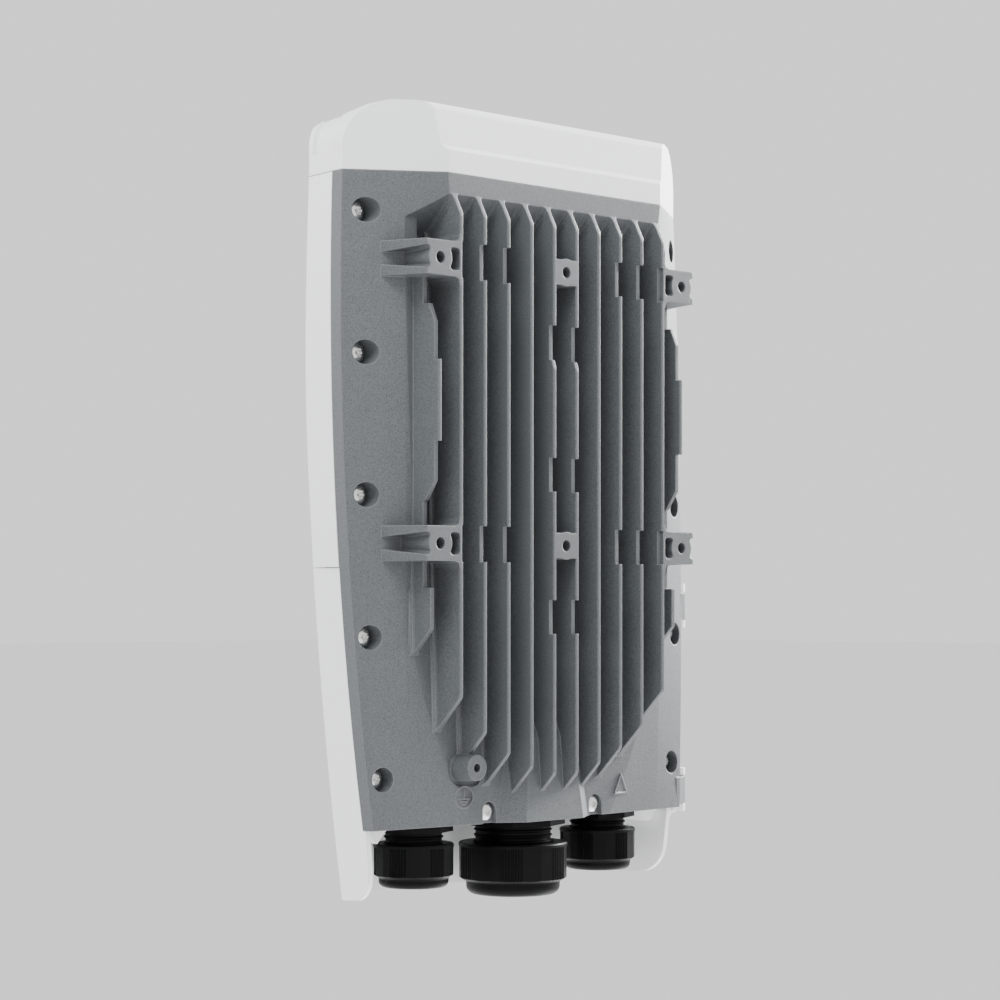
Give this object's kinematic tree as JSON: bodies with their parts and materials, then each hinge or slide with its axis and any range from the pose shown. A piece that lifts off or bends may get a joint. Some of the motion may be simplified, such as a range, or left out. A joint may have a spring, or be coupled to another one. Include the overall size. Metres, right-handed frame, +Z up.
{
  "type": "string inverter",
  "caption": "Wall-mounted string inverter: finned grey die-cast back with bracket lugs, white front covers with a hinged lower door, and round cable glands underneath.",
  "frame": {"origin": "centre of the rectangle of the four wall-bracket lugs, in the plane of the fin tips", "axes": "+Z up, +Y towards the wall, -Y towards the user, +X to the user's right"},
  "size_m": [0.2344, 0.071, 0.371],
  "materials": {
    "casting": "die-cast, grey powder coat, fine sand texture",
    "cover": "smooth satin moulding",
    "rail": "moulded",
    "gland": "black nylon, fine moulded ribs",
    "seal": "soft matt",
    "gasket": "foam silicone",
    "screw": "stainless",
    "pin": "drawn stainless rod",
    "latch": "moulded",
    "latch_metal": "pressed",
    "lid": "pressed sheet",
    "light_guide": "clear moulding",
    "board": "solder-masked laminate",
    "post": "turned",
    "pad": "silicone pad",
    "module": "moulded package",
    "capacitor": "sleeved can",
    "ferrite": "sintered core",
    "copper": "enamelled wire",
    "relay": "moulded case",
    "film": "potted box",
    "surge": "lacquered",
    "fuse": "ceramic tube",
    "terminal": "moulded housing"
  },
  "bodies": {
    "enclosure": {"rear_housing": "casting", "front_cover": "cover", "top_hood": "cover", "flank_screws": "screw", "bottom_edge_screws": "screw", "lid_gasket": "gasket", "inner_lid": "lid", "lid_screws": "screw", "access_gasket": "gasket", "access_cover": "lid", "access_screws": "screw", "right_cover_rail": "rail", "left_cover_rail": "rail", "gland_washers": "gasket", "pressure_vent": "gland", "latch_keeper": "latch_metal", "light_pipe": "light_guide", "status_led_board": "board", "main_board": "board", "board_posts": "post", "board_screws": "screw", "thermal_pads": "pad", "power_modules": "module", "dc_link_capacitors": "capacitor", "boost_inductors": "ferrite", "inductor_windings": "copper", "grid_filter_choke": "ferrite", "grid_relays": "relay", "film_capacitors": "film", "surge_arresters": "surge", "input_fuses": "fuse", "current_sensors": "relay", "control_board": "board", "communication_module": "board", "card_posts": "post", "dc_terminal_block": "terminal", "ac_terminal_block": "terminal", "signal_terminal": "terminal", "centre_gland_body": "gland", "centre_locknut": "gland", "centre_seal": "seal", "right_gland_body": "gland", "right_locknut": "gland", "right_seal": "seal", "left_gland_body": "gland", "left_locknut": "gland", "left_seal": "seal"},
    "door": {"lower_door": "cover", "hinge_pins": "pin"},
    "latch": {"latch_knob": "latch", "latch_cam": "latch_metal"},
    "centre_ring": {"centre_thrust_ring": "gland"},
    "centre_nut": {"centre_cap_nut": "gland"},
    "right_ring": {"right_thrust_ring": "gland"},
    "right_nut": {"right_cap_nut": "gland"},
    "left_ring": {"left_thrust_ring": "gland"},
    "left_nut": {"left_cap_nut": "gland"}
  },
  "joints": [
    {"name": "door_hinge", "type": "hinge", "parent": "enclosure", "child": "door", "pos_m": [-0.1153, -0.031, -0.14], "axis": [0, 0, -1], "range_deg": [0, 110]},
    {"name": "latch_turn", "type": "hinge", "parent": "door", "child": "latch", "pos_m": [0.06, -0.064, -0.15], "axis": [0, -1, 0], "range_deg": [0, 90]},
    {"name": "centre_nut_travel", "type": "slide", "parent": "enclosure", "child": "centre_ring", "axis": [0, 0, -1], "range_m": [0, 0.0055]},
    {"name": "centre_nut_turn", "type": "hinge", "parent": "centre_ring", "child": "centre_nut", "pos_m": [0, -0.0361, -0.218], "axis": [0, 0, -1], "range_deg": [0, 720]},
    {"name": "right_nut_travel", "type": "slide", "parent": "enclosure", "child": "right_ring", "axis": [0, 0, -1], "range_m": [0, 0.0055]},
    {"name": "right_nut_turn", "type": "hinge", "parent": "right_ring", "child": "right_nut", "pos_m": [0.0631, -0.0391, -0.218], "axis": [0, 0, -1], "range_deg": [0, 720]},
    {"name": "left_nut_travel", "type": "slide", "parent": "enclosure", "child": "left_ring", "axis": [0, 0, -1], "range_m": [0, 0.0055]},
    {"name": "left_nut_turn", "type": "hinge", "parent": "left_ring", "child": "left_nut", "pos_m": [-0.0631, -0.0391, -0.218], "axis": [0, 0, -1], "range_deg": [0, 720]}
  ],
  "couplings": [
    {"joint": "centre_nut_travel", "follows": "centre_nut_turn", "m_per_rad": 0.00042972},
    {"joint": "right_nut_travel", "follows": "right_nut_turn", "m_per_rad": 0.00042972},
    {"joint": "left_nut_travel", "follows": "left_nut_turn", "m_per_rad": 0.00042972}
  ]
}
